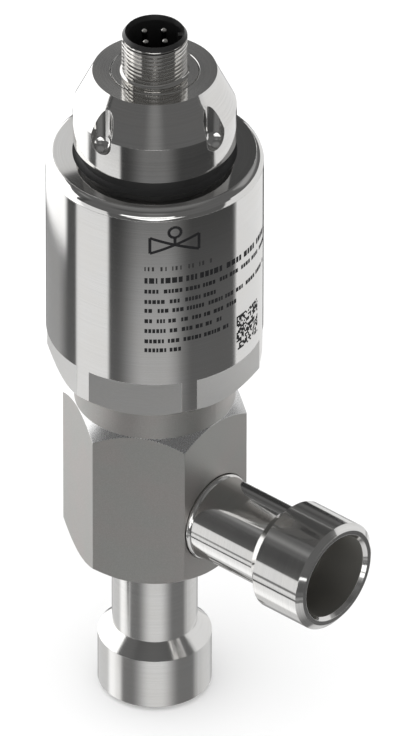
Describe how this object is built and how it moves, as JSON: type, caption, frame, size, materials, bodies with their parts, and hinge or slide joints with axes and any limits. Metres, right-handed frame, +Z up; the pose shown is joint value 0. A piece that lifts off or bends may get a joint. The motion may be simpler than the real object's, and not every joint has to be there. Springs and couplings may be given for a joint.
{
  "type": "electric regulating valve",
  "caption": "Angle-pattern electric regulating valve: hexagonal body with an inlet tube below and an outlet tube at the side, round steel motor housing, cap and round plug connector on top.",
  "frame": {"origin": "centre of the inlet tube's end face, at the foot of the valve axis", "axes": "+Z up the valve axis towards the connector, +X out of the outlet tube"},
  "size_m": [0.0647, 0.04, 0.1458],
  "materials": {
    "tube_steel": "fine turned and polished stainless steel",
    "body_steel": "bead blasted stainless steel",
    "housing_steel": "turned and polished stainless steel",
    "connector_metal": "nickel coloured, threaded",
    "black_plastic": "moulded, black",
    "contact_metal": "nickel plated contact pins",
    "black_rubber": "black sealing rubber",
    "inner_steel": "machined stainless steel",
    "motor_sheet": "zinc plated sheet",
    "bearing_bronze": "sintered bronze",
    "copper_wire": "enamelled copper wire",
    "magnet": "ferrite magnet, dark grey",
    "pale_plastic": "moulded, off-white",
    "bead_glass": "fused glass",
    "lead_cover": "thin insulated wire"
  },
  "bodies": {
    "valve": {"inlet_tube": "tube_steel", "outlet_tube": "tube_steel", "valve_body": "body_steel", "seat_insert": "inner_steel", "seat_ring": "black_rubber", "guide_bush": "bearing_bronze", "guide_plate": "inner_steel", "guide_clip": "inner_steel", "lower_bush": "bearing_bronze", "upper_bush": "bearing_bronze", "thrust_washer": "inner_steel", "front_plate": "inner_steel", "rear_plate": "inner_steel", "lower_cup": "motor_sheet", "lower_pole_plate": "motor_sheet", "lower_bobbin": "pale_plastic", "lower_winding": "copper_wire", "upper_cup": "motor_sheet", "upper_pole_plate": "motor_sheet", "upper_bobbin": "pale_plastic", "upper_winding": "copper_wire", "stator_clip": "inner_steel", "housing": "housing_steel", "housing_ring": "black_rubber", "cover": "housing_steel", "cover_ring": "black_rubber", "feed_plate": "inner_steel", "feed_beads": "bead_glass", "feed_pins": "contact_metal", "motor_leads": "lead_cover", "connector_leads": "lead_cover", "cap_gasket": "black_rubber", "cap": "housing_steel", "connector_shell": "connector_metal", "connector_ring": "black_rubber", "connector_nut": "connector_metal", "connector_insert": "black_plastic", "contact_pins": "contact_metal"},
    "rotor": {"spindle": "inner_steel", "rotor_hub": "pale_plastic", "rotor_magnet": "magnet"},
    "closing_plug": {"plug": "inner_steel", "plug_seal": "pale_plastic", "lead_nut": "bearing_bronze"}
  },
  "joints": [
    {"name": "plug_lift", "type": "slide", "parent": "valve", "child": "closing_plug", "axis": [0, 0, 1], "range_m": [0, 0.00438]},
    {"name": "rotor_turn", "type": "hinge", "parent": "valve", "child": "rotor", "pos_m": [0, 0, 0.094], "axis": [0, 0, 1], "range_deg": [0, 1575]}
  ],
  "couplings": [
    {"joint": "rotor_turn", "follows": "plug_lift", "rad_per_m": 6283.2}
  ]
}
